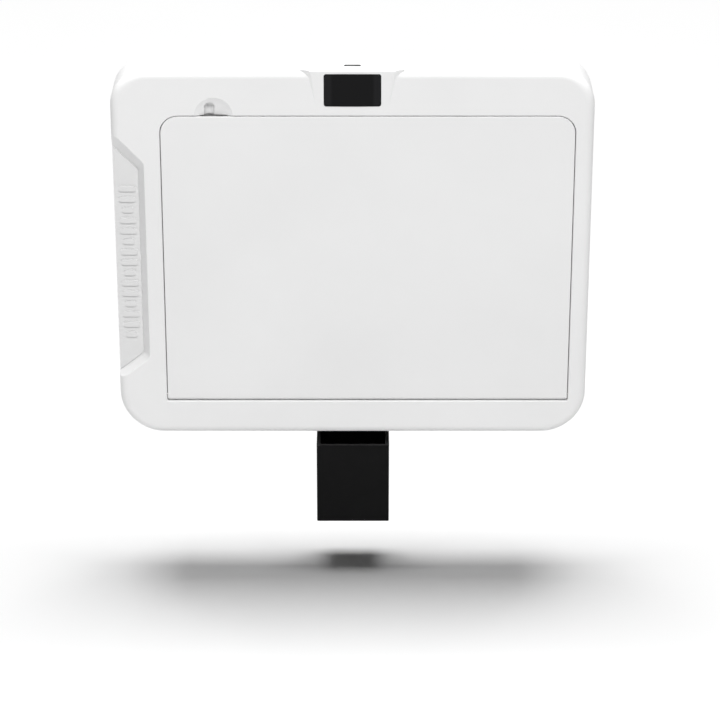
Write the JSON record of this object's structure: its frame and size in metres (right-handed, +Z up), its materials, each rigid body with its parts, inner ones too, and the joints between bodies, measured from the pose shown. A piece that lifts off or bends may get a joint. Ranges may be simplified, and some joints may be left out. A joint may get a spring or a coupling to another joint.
{
  "type": "phone charging kiosk",
  "caption": "Post-mounted kiosk cabinet with a drop-down door, a lit inner chamber with upright phone bays and charging pads, a small display and a push button.",
  "frame": {"origin": "centre of the post sleeve's lower mouth", "axes": "+Z up along the post, the door and display face -Y, +X to the right seen from the front"},
  "size_m": [0.38, 0.0605, 0.3984],
  "materials": {
    "housing_white": "moulded, fine satin texture",
    "door_white": "moulded, fine satin texture",
    "grip_white": "moulded, fine matte texture",
    "screw_zinc": "zinc plated",
    "bright_liner": "bright rolled sheet",
    "seal_grey": "soft, matte",
    "rack_white": "moulded, semi gloss",
    "mat_grey": "soft, ribbed",
    "pad_black": "soft-touch",
    "lamp_glass": "clear tube",
    "socket_white": "moulded",
    "lens_black": "polished",
    "display_black": "moulded",
    "button_black": "fine satin",
    "latch_steel": "bright drawn",
    "magnet_nickel": "nickel plated",
    "supply_case": "folded sheet",
    "board_green": "solder mask",
    "chip_black": "moulded",
    "inlet_black": "moulded",
    "bush_bronze": "sintered",
    "bracket_black": "black powder coat",
    "insert_brass": "knurled",
    "screw_black": "black oxide"
  },
  "bodies": {
    "cabinet": {"front_bezel": "housing_white", "door_frame": "housing_white", "rear_cover": "housing_white", "side_grip": "grip_white", "cover_screws": "screw_zinc", "chamber_liner": "bright_liner", "door_seal": "seal_grey", "rack_shelf": "rack_white", "rack_dividers": "rack_white", "shelf_mats": "mat_grey", "charging_pads": "pad_black", "lamp_tubes": "lamp_glass", "lamp_holders": "socket_white", "display_lens": "lens_black", "display_module": "display_black", "button_switch": "board_green", "latch_body": "latch_steel", "catch_magnets": "magnet_nickel", "power_supply": "supply_case", "control_board": "board_green", "board_parts": "chip_black", "charge_board": "board_green", "power_inlet": "inlet_black", "hinge_pins": "latch_steel", "post_sleeve": "bracket_black", "back_plate": "bracket_black", "plate_ribs": "bracket_black", "bracket_inserts": "insert_brass", "bracket_screws": "screw_black"},
    "door": {"door_panel": "door_white", "door_inner_panel": "bright_liner", "door_screws": "screw_zinc", "strike_plates": "latch_steel", "hinge_bushes": "bush_bronze"},
    "button": {"power_button": "button_black"},
    "lock_bolt": {"latch_bolt": "latch_steel"}
  },
  "joints": [
    {"name": "door_hinge", "type": "hinge", "parent": "cabinet", "child": "door", "pos_m": [0.012, -0.026, 0.1199], "axis": [1, 0, 0], "range_deg": [0, 90]},
    {"name": "button_press", "type": "slide", "parent": "cabinet", "child": "button", "axis": [0, 0, -1], "range_m": [0, 0.0015], "stiffness_N_per_m": 400},
    {"name": "lock_bolt_slide", "type": "slide", "parent": "cabinet", "child": "lock_bolt", "axis": [0, 0, -1], "range_m": [0, 0.005], "stiffness_N_per_m": 60, "springref_m": -0.003}
  ]
}
